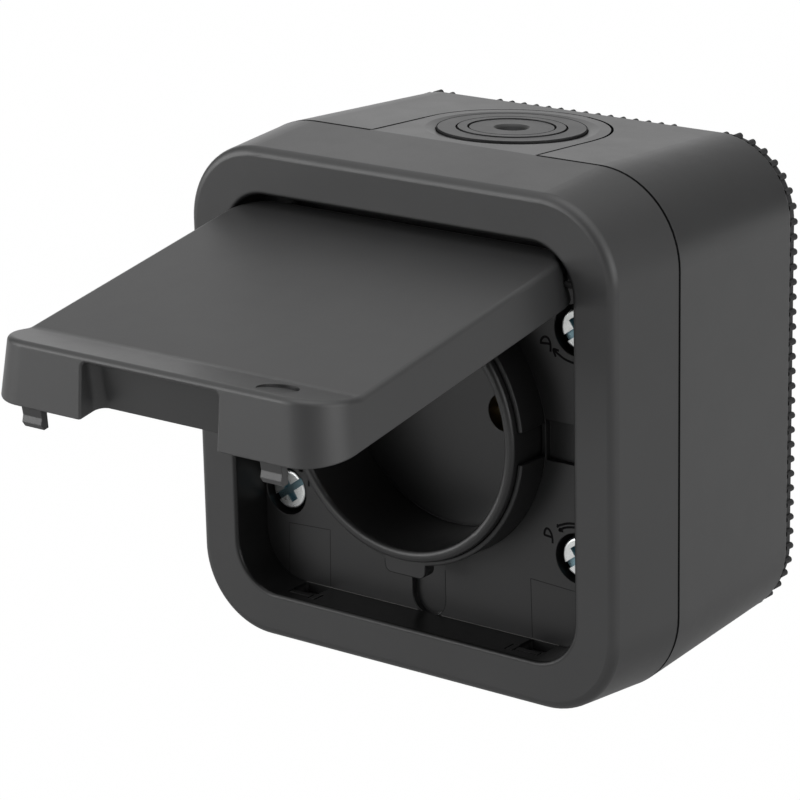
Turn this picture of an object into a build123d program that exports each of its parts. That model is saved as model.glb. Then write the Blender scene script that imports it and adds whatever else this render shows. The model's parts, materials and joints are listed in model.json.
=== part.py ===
from build123d import *
import os
from math import atan2, cos, degrees, pi, radians, sin

os.makedirs("parts", exist_ok=True)

# Millimetres. The wall is the plane y = 0, the front faces -Y and +Z is up.
# Distances called *_H are measured out from the wall.

# Well for the plug
WELL_R = 19.4
WELL_WALL = 1.8
WELL_DEEP = 14.15
WELL_FLOOR_T = 2.5
RIM_ROUND = 0.75
PIN_PITCH = 19.0
PIN_HOLE_R = 3.0
EARTH_UP = 10.0
EARTH_R = 2.4
EARTH_OUT = 13.0
FLANGE_OUT = 3.8     # flange outside the well's wall
FLANGE_T = 2.0
GASKET_T = 0.8
EAR_OUT = 5.2        # centre of the flange's ears outside the well's wall
EAR_R = 3.3

# Collar on the plate round the well
COLLAR_FIT = 0.1
COLLAR_T = 0.7
COLLAR_LOW = 1.3     # collar's end below the well's rim
COLLAR_ROUND = 0.25
SLOT_W = 5.0
TAB_W = 7.6
TAB_OUT = 1.9
TAB_T = 2.2
TAB_ROUND = 1.3
CHANNEL_W = 6.2
CHANNEL_DEEP = 1.0
CHANNEL_END = 0.3    # drain channel's round end beyond the opening's edge

# Lock screws
LOCK_OUT = 5.5       # screw's centre outside the collar, across
LOCK_Z = 17.4
CUP_R = 3.9
CUP_WALL = 1.5
CUP_FLOOR = 1.6
CUP_EDGE = 0.35      # cup inside the opening's edge
HEAD_R = 3.2
HEAD_T = 1.9
HEAD_LOW = 0.6       # head's face below the plate's face
HEAD_ROUND = 0.5
SHANK_R = 2.0
SHANK_IN = 17.2      # shank's end inside the post
RUN_FIT = 0.06
LOCK_SEAL_T = 0.8
LOCK_SEAL_R = 3.1
AXIAL_FIT = 0.05
SLOT_HEAD_W = 1.1
SLOT_HEAD_DEEP = 0.9
CROSS_W = 1.5
CROSS_L = 3.9
HEAD_TURN = 35.0
WING_W = 2.2
WING_L = 7.2
WING_T = 2.0
POST_R = 5.6
POST_BORE_R = 4.1
POST_END_T = 3.0
POST_FIT = 0.3

# Frame and box
OPENING_R = 7.4
OPENING_EDGE_R = 0.55
BORDER = 8.25        # from the opening to the outline at the joint with the box
FACE_R = 13.7        # corner radius of the outline there
BOX_DRAFT = 1.65     # each side of the box comes in by this at the wall
FRAME_DRAFT = 1.2    # and each side of the frame by this at the front
CORNER_IN = 1.1      # and the corners grow tighter by this at both ends
WALL_T = 2.4
BOX_EDGE_R = 0.5     # rounding of the box's rear edge
FRAME_EDGE_R = 1.4   # rounding of the frame's front edge
SEAL_T = 1.8
BOX_D = 32.6
SEAM_GAP = 0.3
FRAME_D = 14.9

# Inner plate
PLATE_RECESS = 7.15  # plate's front face below the frame's front
PLATE_T = 2.4
PLATE_LAP = 2.7      # plate's overlap behind the frame on each side
PLATE_FIT = 0.05

# Soft cord between box and frame
CORD_IN = 0.7        # cord's edge inside the box's edge
CORD_W = 1.1
CORD_DEEP = 1.0

# Wall seal
SEAL_INSET = 0.6     # seal's edge inside the box's edge
SEAL_BAND = 2.5
SEAL_FIT = 0.2       # seal's room round the screw pads
TOOTH_R = 0.52
TOOTH_OUT = 0.12     # tooth centre outside the seal's edge
TOOTH_RUNS = 22      # tooth gaps along one straight side
CORNER_RUNS = 8
TOP_GROUP = 17.0     # teeth stand in the middle of the top and bottom up to here
TOP_CORNER = 24.0    # and again from here to the corner
TOP_LOW = 0.36       # and they stand out less there

# Wall screws
SCREW_SPACING = 60.0
SCREW_HOLE_R = 2.2
SCREW_PAD_R = 3.8

# Cable entry in the frame's tongue
GROMMET_R = 11.4
GROMMET_FIT = 0.15
GROMMET_STEPS = (8.43, 6.53)
GROMMET_UP = 0.1     # membrane above the tongue's face
GROMMET_STEP_UP = 0.1
GROMMET_LIP_OUT = 1.35
GROMMET_LIP_T = 1.2
GROOVE_W = 0.2
GROOVE_DEEP = 0.3
DIMPLE_R = 2.8
DIMPLE_TIP_R = 0.5
DIMPLE_DEEP = 1.5
DISH_W = 1.65
DISH_DEEP = 0.3
TONGUE_EDGE = 1.8    # flat edge of the tongue outside the dish
TONGUE_T = 2.6
TONGUE_GAP = 0.3
TONGUE_IN = 0.5      # tongue's round end in front of the box's floor

# Lid, in its own plane: s runs forward from the hinge axis, t is height above it
OPEN_DROP = 10.0     # the open lid slopes down this far from level
HINGE_DEEP = 1.07    # hinge axis behind the frame's front
HINGE_LOW = 5.63     # hinge axis below the opening's top edge
LID_GAP = 1.0        # shut lid to the opening's sides
LID_LOW_GAP = 0.75   # and to its bottom edge
LID_T = 2.2
LID_TOP = 3.62
LID_SKIRT = 6.5
LID_REAR = 4.13
LID_DRAFT = 7.5
LID_CORNER_R = 6.6
LID_EDGE_R = 0.8
LID_WALL = 2.0
LIP_LEAN = 2.45      # lip's crest behind its foot
LIP_RUN = 8.0        # ramp's length behind the crest
LIP_RISE = 2.43
LIP_WALL = 2.0
LIP_BLEND = 4.0
RECESS_W = 24.6
RECESS_DEEP = 4.45
RECESS_TOP = 1.2
RECESS_R = 1.6
RECESS_ROUND = 0.8   # corners between the recess's ceiling and walls
RECESS_EDGE_R = 0.35 # rounding of the recess's edge on the lip
MARK_OUT = 6.9       # round mark's centre beside the recess
MARK_BACK = 6.25     # and behind the lip's foot
MARK_R = 2.9
MARK_DEEP = 0.5
HOOK_OUT = 9.2       # hook's centre beside the recess
HOOK_W = 3.6
HOOK_REACH = 0.32
HOOK_DROP = 3.05
HOOK_T = 1.3
HOOK_IN = 0.1        # hook's face behind the lip's foot
HOOK_TAPER = 0.3
HOOK_ROOT = 0.8      # hook's root behind its face
POCKET_FIT = 0.65    # pocket's room beside the hook
POCKET_L = 3.6
POCKET_DEEP = 1.6
POCKET_R = 0.4
CATCH_L = 4.0        # catch bar in front of the pocket
CATCH_W = 1.0
CATCH_END_L = 1.1    # and the small block at its inner end
CATCH_END_W = 2.0
CATCH_LINE = 0.22    # groove round them
CATCH_DEEP = 0.35
PIN_R = 0.5
PIN_IN_FRAME = 3.0
PIN_ROUND = 0.15
BOSS_R = 2.2
BOSS_T = 1.2
LID_SEAL_LAP = 0.3
LID_SEAL_T = 0.95
LID_SEAL_SUNK = 0.75

# Inner pieces
BASE_W = 38.0
BASE_HIGH = 34.0
BASE_R = 6.0
BASE_D = 13.0
SLEEVE_R = 3.3
SLEEVE_WALL = 0.8
SLEEVE_SLIT = 0.8
BLOCK_W = 8.0
BLOCK_HIGH = 12.0
BLOCK_D = 7.0
BLOCK_FIT = 0.1
WIRE_R = 1.6
CLAMP_R = 1.6
CLAMP_HEAD_R = 2.4
CLAMP_HEAD_T = 1.4
COVER_T = 2.0
COVER_ROUND = 0.5
INSERT_HEAD_R = 2.7
INSERT_HEAD_T = 1.7
INSERT_R = 1.3
INSERT_IN = 1.2
INSERT_SLOT = 0.8

# Outlines that follow from the well outwards
WELL_OUT_R = WELL_R + WELL_WALL
FLANGE_R = WELL_OUT_R + FLANGE_OUT
EAR_UP = WELL_OUT_R + EAR_OUT
COLLAR_BORE = WELL_OUT_R + COLLAR_FIT
COLLAR_R = COLLAR_BORE + COLLAR_T
LOCK_X = COLLAR_R + LOCK_OUT
LOCKS = ((-LOCK_X, LOCK_Z), (LOCK_X, LOCK_Z), (-LOCK_X, -LOCK_Z), (LOCK_X, -LOCK_Z))
OPENING = 2 * (LOCK_X + CUP_R + CUP_EDGE)
FACE = OPENING + 2 * BORDER
BACK = FACE - 2 * BOX_DRAFT
BACK_R = FACE_R - CORNER_IN
FRONT = FACE - 2 * FRAME_DRAFT
FRONT_R = FACE_R - CORNER_IN

# Distances out from the wall
BOX_H = SEAL_T
BACK_FLOOR_H = BOX_H + WALL_T
SEAM_H = BOX_H + BOX_D
FRAME_H = SEAM_H + SEAM_GAP
FRONT_H = FRAME_H + FRAME_D
RIM_H = FRONT_H
FLOOR_H = RIM_H - WELL_DEEP
FLOOR_BACK_H = FLOOR_H - WELL_FLOOR_T
COLLAR_H = RIM_H - COLLAR_LOW
PLATE_H = FRONT_H - PLATE_RECESS
PLATE_BACK_H = PLATE_H - PLATE_T
FLANGE_H = PLATE_BACK_H - GASKET_T
EAR_H = FLANGE_H - FLANGE_T
CUP_FLOOR_H = PLATE_H - HEAD_LOW - HEAD_T - AXIAL_FIT - LOCK_SEAL_T
CUP_BACK_H = CUP_FLOOR_H - CUP_FLOOR
HEAD_BACK_H = CUP_FLOOR_H + LOCK_SEAL_T + AXIAL_FIT
POST_H = CUP_BACK_H - POST_FIT
SHANK_END_H = POST_H - SHANK_IN
BASE_BACK_H = FLOOR_BACK_H - BASE_D

# Cable entry
ENTRY_R = GROMMET_R + GROMMET_FIT
GROMMET_LIP_R = ENTRY_R + GROMMET_LIP_OUT
DISH_R = ENTRY_R + DISH_W
TONGUE_R = DISH_R + TONGUE_EDGE
ENTRY_H = BACK_FLOOR_H + TONGUE_R + TONGUE_IN
BOX_SLOPE = degrees(atan2(BOX_DRAFT, BOX_D))

# Lid
HINGE_H = FRONT_H - HINGE_DEEP
HINGE_Z = OPENING / 2 - HINGE_LOW
LID_W = OPENING - 2 * LID_GAP
LIP_FOOT_S = HINGE_Z + OPENING / 2 - LID_LOW_GAP
LIP_TOP_S = LIP_FOOT_S - LIP_LEAN
LIP_START = LIP_TOP_S - LIP_RUN
RECESS_BACK_S = LIP_FOOT_S - RECESS_DEEP
MARK_X = RECESS_W / 2 + MARK_OUT
MARK_S = LIP_FOOT_S - MARK_BACK
HOOK_X = RECESS_W / 2 + HOOK_OUT
POCKET_W = HOOK_W + 2 * POCKET_FIT


def out(height):
    """Plane facing the front at this distance from the wall."""
    return Plane.XZ.offset(height)


top_slope = radians(BOX_SLOPE)
entry_z = BACK / 2 + (ENTRY_H - BOX_H) * BOX_DRAFT / BOX_D
entry = Plane(origin=(0, -ENTRY_H, entry_z), x_dir=(1, 0, 0), z_dir=(0, sin(top_slope), cos(top_slope)))

drop = radians(OPEN_DROP)
lid_plane = Plane(origin=(0, -HINGE_H, HINGE_Z), x_dir=(1, 0, 0), z_dir=(0, -sin(drop), cos(drop)))
lid_side = Plane(origin=(0, -HINGE_H, HINGE_Z), x_dir=(0, -cos(drop), -sin(drop)), z_dir=(-1, 0, 0))
lid_foot = LID_TOP - LID_SKIRT

# Toothed rubber strip between the box and the wall
seal_w = BACK - 2 * SEAL_INSET
seal_r = BACK_R - SEAL_INSET
seal_straight = seal_w - 2 * seal_r
tooth_line = seal_w / 2 + TOOTH_OUT
teeth = []
for i in range(TOOTH_RUNS + 1):
    along = -seal_straight / 2 + seal_straight * i / TOOTH_RUNS
    teeth += [(tooth_line, along), (-tooth_line, along)]
    if abs(along) < TOP_GROUP or abs(along) > TOP_CORNER:
        teeth += [(along, tooth_line - TOP_LOW), (along, TOP_LOW - tooth_line)]
for i in range(1, CORNER_RUNS):
    turn = pi / 2 * i / CORNER_RUNS
    for sx, sz in ((1, 1), (-1, 1), (-1, -1), (1, -1)):
        teeth += [(
            sx * (seal_straight / 2 + (seal_r + TOOTH_OUT) * cos(turn)),
            sz * (seal_straight / 2 + (seal_r + TOOTH_OUT) * sin(turn)),
        )]

with BuildPart() as wall_seal:
    with BuildSketch(out(0)):
        RectangleRounded(seal_w, seal_w, seal_r)
        with Locations(*teeth):
            Circle(TOOTH_R)
        RectangleRounded(
            seal_w - 2 * SEAL_BAND, seal_w - 2 * SEAL_BAND, seal_r - SEAL_BAND, mode=Mode.SUBTRACT
        )
        with GridLocations(SCREW_SPACING, 0, 2, 1):
            Circle(SCREW_PAD_R + SEAL_FIT, mode=Mode.SUBTRACT)
    extrude(amount=SEAL_T)
wall_seal.part.label = "wall_seal"
export_step(wall_seal.part, "parts/wall_seal.step")

# Surface box: tapering shell, wall screw pads, four lock posts and the tongue's notch in its top
cord_out = FACE - 2 * CORD_IN
cord_in = cord_out - 2 * CORD_W
cord_r = FACE_R - CORD_IN

with BuildPart() as back_box:
    with BuildSketch(out(BOX_H)):
        RectangleRounded(BACK, BACK, BACK_R)
    with BuildSketch(out(SEAM_H)):
        RectangleRounded(FACE, FACE, FACE_R)
    loft()
    fillet(back_box.faces().sort_by(Axis.Y)[-1].edges(), BOX_EDGE_R)
    with BuildSketch(out(BACK_FLOOR_H)):
        RectangleRounded(BACK - 2 * WALL_T, BACK - 2 * WALL_T, BACK_R - WALL_T)
    with BuildSketch(out(SEAM_H)):
        RectangleRounded(FACE - 2 * WALL_T, FACE - 2 * WALL_T, FACE_R - WALL_T)
    loft(mode=Mode.SUBTRACT)
    with BuildSketch(out(BACK_FLOOR_H)):
        with Locations(*LOCKS):
            Circle(POST_R)
    extrude(amount=POST_H - BACK_FLOOR_H)
    with BuildSketch(out(BACK_FLOOR_H + WALL_T)):
        with Locations(*LOCKS):
            Circle(POST_BORE_R)
    extrude(amount=POST_H - POST_END_T - BACK_FLOOR_H - WALL_T, mode=Mode.SUBTRACT)
    with BuildSketch(out(POST_H)):
        with Locations(*LOCKS):
            Circle(SHANK_R + RUN_FIT)
            Rectangle(WING_W + 2 * POST_FIT, WING_L + 2 * POST_FIT)
    extrude(amount=-POST_END_T, mode=Mode.SUBTRACT)
    with BuildSketch(out(0)):
        with GridLocations(SCREW_SPACING, 0, 2, 1):
            Circle(SCREW_PAD_R)
    extrude(amount=BACK_FLOOR_H)
    with BuildSketch(out(0)):
        with GridLocations(SCREW_SPACING, 0, 2, 1):
            Circle(SCREW_HOLE_R)
    extrude(amount=BACK_FLOOR_H, mode=Mode.SUBTRACT)
    with BuildSketch(out(SEAM_H)):
        RectangleRounded(cord_out, cord_out, cord_r)
        RectangleRounded(cord_in, cord_in, cord_r - CORD_W, mode=Mode.SUBTRACT)
    extrude(amount=-CORD_DEEP, mode=Mode.SUBTRACT)
    with BuildSketch(entry.offset(-2 * TONGUE_T)):
        Circle(TONGUE_R + TONGUE_GAP)
        with Locations((0, -BOX_D / 2)):
            Rectangle(2 * (TONGUE_R + TONGUE_GAP), BOX_D)
    extrude(amount=4 * TONGUE_T, mode=Mode.SUBTRACT)
back_box.part.label = "back_box"
export_step(back_box.part, "parts/back_box.step")

# Soft cord in the joint between box and frame, open where the tongue passes
with BuildPart() as frame_gasket:
    with BuildSketch(out(SEAM_H - CORD_DEEP)):
        RectangleRounded(cord_out, cord_out, cord_r)
        RectangleRounded(cord_in, cord_in, cord_r - CORD_W, mode=Mode.SUBTRACT)
        with Locations((0, FACE / 2)):
            Rectangle(2 * (TONGUE_R + TONGUE_GAP), WALL_T * 4, mode=Mode.SUBTRACT)
    extrude(amount=CORD_DEEP + SEAM_GAP)
frame_gasket.part.label = "frame_gasket"
export_step(frame_gasket.part, "parts/frame_gasket.step")

# Tongue of the frame, following the box's sloping top
with BuildPart() as tongue:
    with BuildSketch(entry.offset(-TONGUE_T)):
        Circle(TONGUE_R)
        with Locations((0, -BOX_D / 2)):
            Rectangle(2 * TONGUE_R, BOX_D)
    extrude(amount=2 * TONGUE_T)
    with BuildSketch(out(BOX_H)):
        RectangleRounded(BACK, BACK, BACK_R)
    with BuildSketch(out(FRAME_H)):
        RectangleRounded(FACE, FACE, FACE_R)
    loft(mode=Mode.INTERSECT)
    with BuildSketch(entry.offset(-TONGUE_T)):
        Circle(ENTRY_R)
    extrude(amount=2 * TONGUE_T, mode=Mode.SUBTRACT)
    with BuildSketch(entry):
        Circle(DISH_R)
    with BuildSketch(entry.offset(-DISH_DEEP)):
        Circle(ENTRY_R)
    loft(mode=Mode.SUBTRACT)

# Front frame with opening, plate seat, catch pockets, hinge bores and tongue
plate_w = OPENING + 2 * PLATE_LAP
plate_r = OPENING_R + PLATE_LAP
catch_y = -PLATE_H - POCKET_L - CATCH_LINE - CATCH_W / 2
catch_end_x = HOOK_X - (CATCH_L + CATCH_END_L) / 2 - CATCH_LINE

with BuildPart() as front_frame:
    with BuildSketch(out(FRAME_H)):
        RectangleRounded(FACE, FACE, FACE_R)
    with BuildSketch(out(FRONT_H)):
        RectangleRounded(FRONT, FRONT, FRONT_R)
    loft()
    fillet(front_frame.faces().sort_by(Axis.Y)[0].edges(), FRAME_EDGE_R)
    with BuildSketch(out(PLATE_H)):
        RectangleRounded(OPENING, OPENING, OPENING_R)
    extrude(amount=PLATE_RECESS, mode=Mode.SUBTRACT)
    fillet(front_frame.faces().sort_by(Axis.Y)[0].inner_wires().edges(), OPENING_EDGE_R)
    with BuildSketch(out(FRAME_H)):
        RectangleRounded(plate_w, plate_w, plate_r)
    extrude(amount=PLATE_H - FRAME_H, mode=Mode.SUBTRACT)
    with BuildSketch(out(FRAME_H)):
        RectangleRounded(FACE - 2 * WALL_T, FACE - 2 * WALL_T, FACE_R - WALL_T)
    extrude(amount=PLATE_BACK_H - FRAME_H, mode=Mode.SUBTRACT)
    with BuildSketch(Plane.XY.offset(-OPENING / 2)):
        with Locations((-HOOK_X, -PLATE_H - POCKET_L / 2), (HOOK_X, -PLATE_H - POCKET_L / 2)):
            RectangleRounded(POCKET_W, POCKET_L, POCKET_R)
    extrude(amount=-POCKET_DEEP, mode=Mode.SUBTRACT)
    with BuildSketch(Plane.XY.offset(-OPENING / 2)):
        for side in (-1, 1):
            with Locations((side * HOOK_X, catch_y)):
                Rectangle(CATCH_L + 2 * CATCH_LINE, CATCH_W + 2 * CATCH_LINE)
            with Locations((side * catch_end_x, catch_y)):
                Rectangle(CATCH_END_L + 2 * CATCH_LINE, CATCH_END_W + 2 * CATCH_LINE)
        for side in (-1, 1):
            with Locations((side * HOOK_X, catch_y)):
                Rectangle(CATCH_L, CATCH_W, mode=Mode.SUBTRACT)
            with Locations((side * catch_end_x, catch_y)):
                Rectangle(CATCH_END_L, CATCH_END_W, mode=Mode.SUBTRACT)
    extrude(amount=-CATCH_DEEP, mode=Mode.SUBTRACT)
    with BuildSketch(Plane.YZ.offset(-OPENING / 2 - PIN_IN_FRAME)):
        with Locations((-HINGE_H, HINGE_Z)):
            Circle(PIN_R)
    extrude(amount=OPENING + 2 * PIN_IN_FRAME, mode=Mode.SUBTRACT)
    add(tongue.part)
front_frame.part.label = "front_frame"
export_step(front_frame.part, "parts/front_frame.step")

# Stepped rubber membrane for the cable, with a clip lip under the tongue
with BuildPart() as cable_grommet:
    with BuildSketch(entry.offset(-TONGUE_T - GROMMET_LIP_T)):
        Circle(GROMMET_LIP_R)
    extrude(amount=GROMMET_LIP_T)
    with BuildSketch(entry.offset(-TONGUE_T)):
        Circle(GROMMET_R)
    extrude(amount=TONGUE_T + GROMMET_UP)
    with BuildSketch(entry.offset(GROMMET_UP)):
        Circle(GROMMET_STEPS[0])
        Circle(GROMMET_STEPS[1], mode=Mode.SUBTRACT)
    extrude(amount=GROMMET_STEP_UP)
    with BuildSketch(entry.offset(GROMMET_UP)):
        for step in GROMMET_STEPS:
            Circle(step + GROOVE_W / 2)
            Circle(step - GROOVE_W / 2, mode=Mode.SUBTRACT)
    extrude(amount=-GROOVE_DEEP, mode=Mode.SUBTRACT)
    with BuildSketch(entry.offset(GROMMET_UP)):
        for step in GROMMET_STEPS:
            Circle(step + GROOVE_W / 2)
            Circle(step - GROOVE_W / 2, mode=Mode.SUBTRACT)
    extrude(amount=GROMMET_STEP_UP, mode=Mode.SUBTRACT)
    with BuildSketch(entry.offset(GROMMET_UP)):
        Circle(DIMPLE_R)
    with BuildSketch(entry.offset(GROMMET_UP - DIMPLE_DEEP)):
        Circle(DIMPLE_TIP_R)
    loft(mode=Mode.SUBTRACT)
cable_grommet.part.label = "cable_grommet"
export_step(cable_grommet.part, "parts/cable_grommet.step")

# Inner plate: collar round the well, drain channels, tab and screw cups
channel_end = OPENING / 2 + CHANNEL_END

with BuildPart() as inner_plate:
    with BuildSketch(out(PLATE_BACK_H)):
        RectangleRounded(plate_w - 2 * PLATE_FIT, plate_w - 2 * PLATE_FIT, plate_r - PLATE_FIT)
    extrude(amount=PLATE_T)
    with BuildSketch(out(PLATE_H)):
        Circle(COLLAR_R)
    extrude(amount=COLLAR_H - PLATE_H)
    fillet(inner_plate.faces().sort_by(Axis.Y)[0].edges(), COLLAR_ROUND)
    with BuildSketch(out(COLLAR_H)):
        with Locations((0, -COLLAR_R)):
            RectangleRounded(TAB_W, 2 * TAB_OUT, TAB_ROUND)
    extrude(amount=-TAB_T)
    with BuildSketch(out(PLATE_H)):
        with Locations((0, -(COLLAR_R - CHANNEL_W + channel_end) / 2)):
            SlotOverall(channel_end - COLLAR_R + CHANNEL_W, CHANNEL_W, rotation=90)
        with Locations((COLLAR_R + OPENING / 4, 0), (-COLLAR_R - OPENING / 4, 0)):
            Rectangle(OPENING / 2, CHANNEL_W)
        Circle(COLLAR_R, mode=Mode.SUBTRACT)
    extrude(amount=-CHANNEL_DEEP, mode=Mode.SUBTRACT)
    with BuildSketch(out(CUP_BACK_H)):
        with Locations(*LOCKS):
            Circle(CUP_R + CUP_WALL)
    extrude(amount=PLATE_BACK_H - CUP_BACK_H)
    with BuildSketch(out(FLANGE_H)):
        with Locations((0, EAR_UP), (0, -EAR_UP)):
            Circle(EAR_R)
    extrude(amount=GASKET_T)
    with BuildSketch(out(CUP_FLOOR_H)):
        with Locations(*LOCKS):
            Circle(CUP_R)
    extrude(amount=PLATE_H - CUP_FLOOR_H, mode=Mode.SUBTRACT)
    with BuildSketch(out(CUP_BACK_H)):
        with Locations(*LOCKS):
            Circle(SHANK_R + RUN_FIT)
    extrude(amount=CUP_FLOOR, mode=Mode.SUBTRACT)
    with BuildSketch(out(FLANGE_H)):
        with Locations((0, EAR_UP), (0, -EAR_UP)):
            Circle(INSERT_R)
    extrude(amount=GASKET_T + INSERT_IN, mode=Mode.SUBTRACT)
    with BuildSketch(out(PLATE_BACK_H)):
        Circle(COLLAR_BORE)
    extrude(amount=COLLAR_H - PLATE_BACK_H, mode=Mode.SUBTRACT)
    with BuildSketch(out(PLATE_H)):
        with Locations((COLLAR_R, 0), (-COLLAR_R, 0)):
            Rectangle(4 * (COLLAR_R - COLLAR_BORE), SLOT_W)
    extrude(amount=COLLAR_H - PLATE_H, mode=Mode.SUBTRACT)
inner_plate.part.label = "inner_plate"
export_step(inner_plate.part, "parts/inner_plate.step")

# Well with rim, flange and pin holes
with BuildPart() as socket_well:
    with BuildSketch(out(FLOOR_BACK_H)):
        Circle(WELL_OUT_R)
    extrude(amount=RIM_H - FLOOR_BACK_H)
    with BuildSketch(out(EAR_H)):
        Circle(FLANGE_R)
        with Locations((0, EAR_UP), (0, -EAR_UP)):
            Circle(EAR_R)
    extrude(amount=FLANGE_T)
    with BuildSketch(out(FLOOR_H)):
        Circle(WELL_R)
    extrude(amount=WELL_DEEP, mode=Mode.SUBTRACT)
    fillet(socket_well.faces().sort_by(Axis.Y)[0].edges(), RIM_ROUND)
    with BuildSketch(out(FLOOR_BACK_H)):
        with GridLocations(PIN_PITCH, 0, 2, 1):
            Circle(PIN_HOLE_R)
        with Locations((0, EARTH_UP)):
            Circle(EARTH_R)
    extrude(amount=WELL_FLOOR_T, mode=Mode.SUBTRACT)
    with BuildSketch(out(EAR_H)):
        with Locations((0, EAR_UP), (0, -EAR_UP)):
            Circle(INSERT_R)
    extrude(amount=FLANGE_T, mode=Mode.SUBTRACT)
socket_well.part.label = "socket_well"
export_step(socket_well.part, "parts/socket_well.step")

# Flat ring between the well's flange and the plate
with BuildPart() as collar_gasket:
    with BuildSketch(out(FLANGE_H)):
        Circle(EAR_UP - EAR_R)
        Circle(WELL_OUT_R, mode=Mode.SUBTRACT)
    extrude(amount=GASKET_T)
collar_gasket.part.label = "collar_gasket"
export_step(collar_gasket.part, "parts/collar_gasket.step")

# Screws that hold the well to the plate
with BuildPart() as insert_screws:
    with BuildSketch(out(EAR_H - INSERT_HEAD_T)):
        with Locations((0, EAR_UP), (0, -EAR_UP)):
            Circle(INSERT_HEAD_R)
    extrude(amount=INSERT_HEAD_T)
    with BuildSketch(out(EAR_H)):
        with Locations((0, EAR_UP), (0, -EAR_UP)):
            Circle(INSERT_R)
    extrude(amount=FLANGE_T + GASKET_T + INSERT_IN)
    with BuildSketch(out(EAR_H - INSERT_HEAD_T)):
        with Locations((0, EAR_UP), (0, -EAR_UP)):
            Rectangle(2 * INSERT_HEAD_R, INSERT_SLOT)
    extrude(amount=INSERT_SLOT, mode=Mode.SUBTRACT)
insert_screws.part.label = "insert_screws"
export_step(insert_screws.part, "parts/insert_screws.step")

# Sealing washers under the lock screw heads
with BuildPart() as screw_seals:
    with BuildSketch(out(CUP_FLOOR_H)):
        with Locations(*LOCKS):
            Circle(LOCK_SEAL_R)
            Circle(SHANK_R + RUN_FIT, mode=Mode.SUBTRACT)
    extrude(amount=LOCK_SEAL_T)
screw_seals.part.label = "screw_seals"
export_step(screw_seals.part, "parts/screw_seals.step")

# Quarter-turn lock screws with slot, cross and locking wing
for number, (lock_x, lock_z) in enumerate(LOCKS, 1):
    with BuildPart() as lock_screw:
        with BuildSketch(out(HEAD_BACK_H)):
            with Locations((lock_x, lock_z)):
                Circle(HEAD_R)
        extrude(amount=HEAD_T)
        fillet(lock_screw.faces().sort_by(Axis.Y)[0].edges(), HEAD_ROUND)
        with BuildSketch(out(SHANK_END_H)):
            with Locations((lock_x, lock_z)):
                Circle(SHANK_R)
        extrude(amount=HEAD_BACK_H - SHANK_END_H)
        with BuildSketch(out(SHANK_END_H)):
            with Locations((lock_x, lock_z)):
                Rectangle(WING_L, WING_W)
        extrude(amount=WING_T)
        with BuildSketch(out(HEAD_BACK_H + HEAD_T)):
            with Locations((lock_x, lock_z)):
                Rectangle(2 * HEAD_R, SLOT_HEAD_W, rotation=HEAD_TURN)
                Rectangle(CROSS_W, CROSS_L, rotation=HEAD_TURN)
        extrude(amount=-SLOT_HEAD_DEEP, mode=Mode.SUBTRACT)
    lock_screw.part.label = f"lock_screw_{number}"
    export_step(lock_screw.part, f"parts/lock_screw_{number}.step")

# Hollow of the lid: under the plate and beside the finger recess
with BuildPart() as lid_hollow:
    hollow_top = LID_TOP - LID_T
    hollow_front = RECESS_BACK_S - LIP_WALL
    hollow_rear = -LID_REAR + LID_WALL
    with BuildSketch(lid_plane.offset(lid_foot)):
        with Locations((0, -(hollow_front + hollow_rear) / 2)):
            RectangleRounded(LID_W - 2 * LID_WALL, hollow_front - hollow_rear, LID_CORNER_R - LID_WALL)
    extrude(amount=hollow_top - lid_foot, taper=LID_DRAFT)
    corner_in = RECESS_W / 2 + LIP_WALL
    corner_out = LID_W / 2 - LID_CORNER_R
    corner_front = LIP_FOOT_S - 1.5 * LIP_WALL
    with BuildSketch(lid_plane.offset(lid_foot)):
        for side in (-1, 1):
            with Locations((side * (corner_in + corner_out) / 2, -(corner_front + hollow_front) / 2)):
                Rectangle(corner_out - corner_in, corner_front - hollow_front + LIP_WALL)
    extrude(amount=hollow_top - lid_foot)

# Lid: flat plate, tapering skirt, raised lip, finger recess, snap hooks
lip_angle = atan2(LIP_RISE, LIP_TOP_S - LIP_START)
mark_tilt = lip_angle + atan2(MARK_DEEP, 2 * MARK_R)
mark_t = LID_TOP + (MARK_S - LIP_START) * LIP_RISE / (LIP_TOP_S - LIP_START) - MARK_DEEP / 2
mark_at = lid_plane.from_local_coords((MARK_X, -MARK_S, mark_t))
mark_plane = Plane(
    origin=mark_at, x_dir=(1, 0, 0), z_dir=(0, sin(mark_tilt - drop), cos(mark_tilt - drop))
)

lip_at = lid_plane.from_local_coords(Vector(0, -LIP_FOOT_S, lid_foot))
lip_top = lid_plane.from_local_coords(Vector(0, -LIP_TOP_S, LID_TOP + LIP_RISE))
lip_out = (lip_top - lip_at).cross(Vector(1, 0, 0)).normalized()

boss_end = LID_W / 2 - LID_WALL
lid_seal_out = WELL_OUT_R + LID_SEAL_LAP
lid_seal_in = WELL_R - LID_SEAL_LAP

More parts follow.
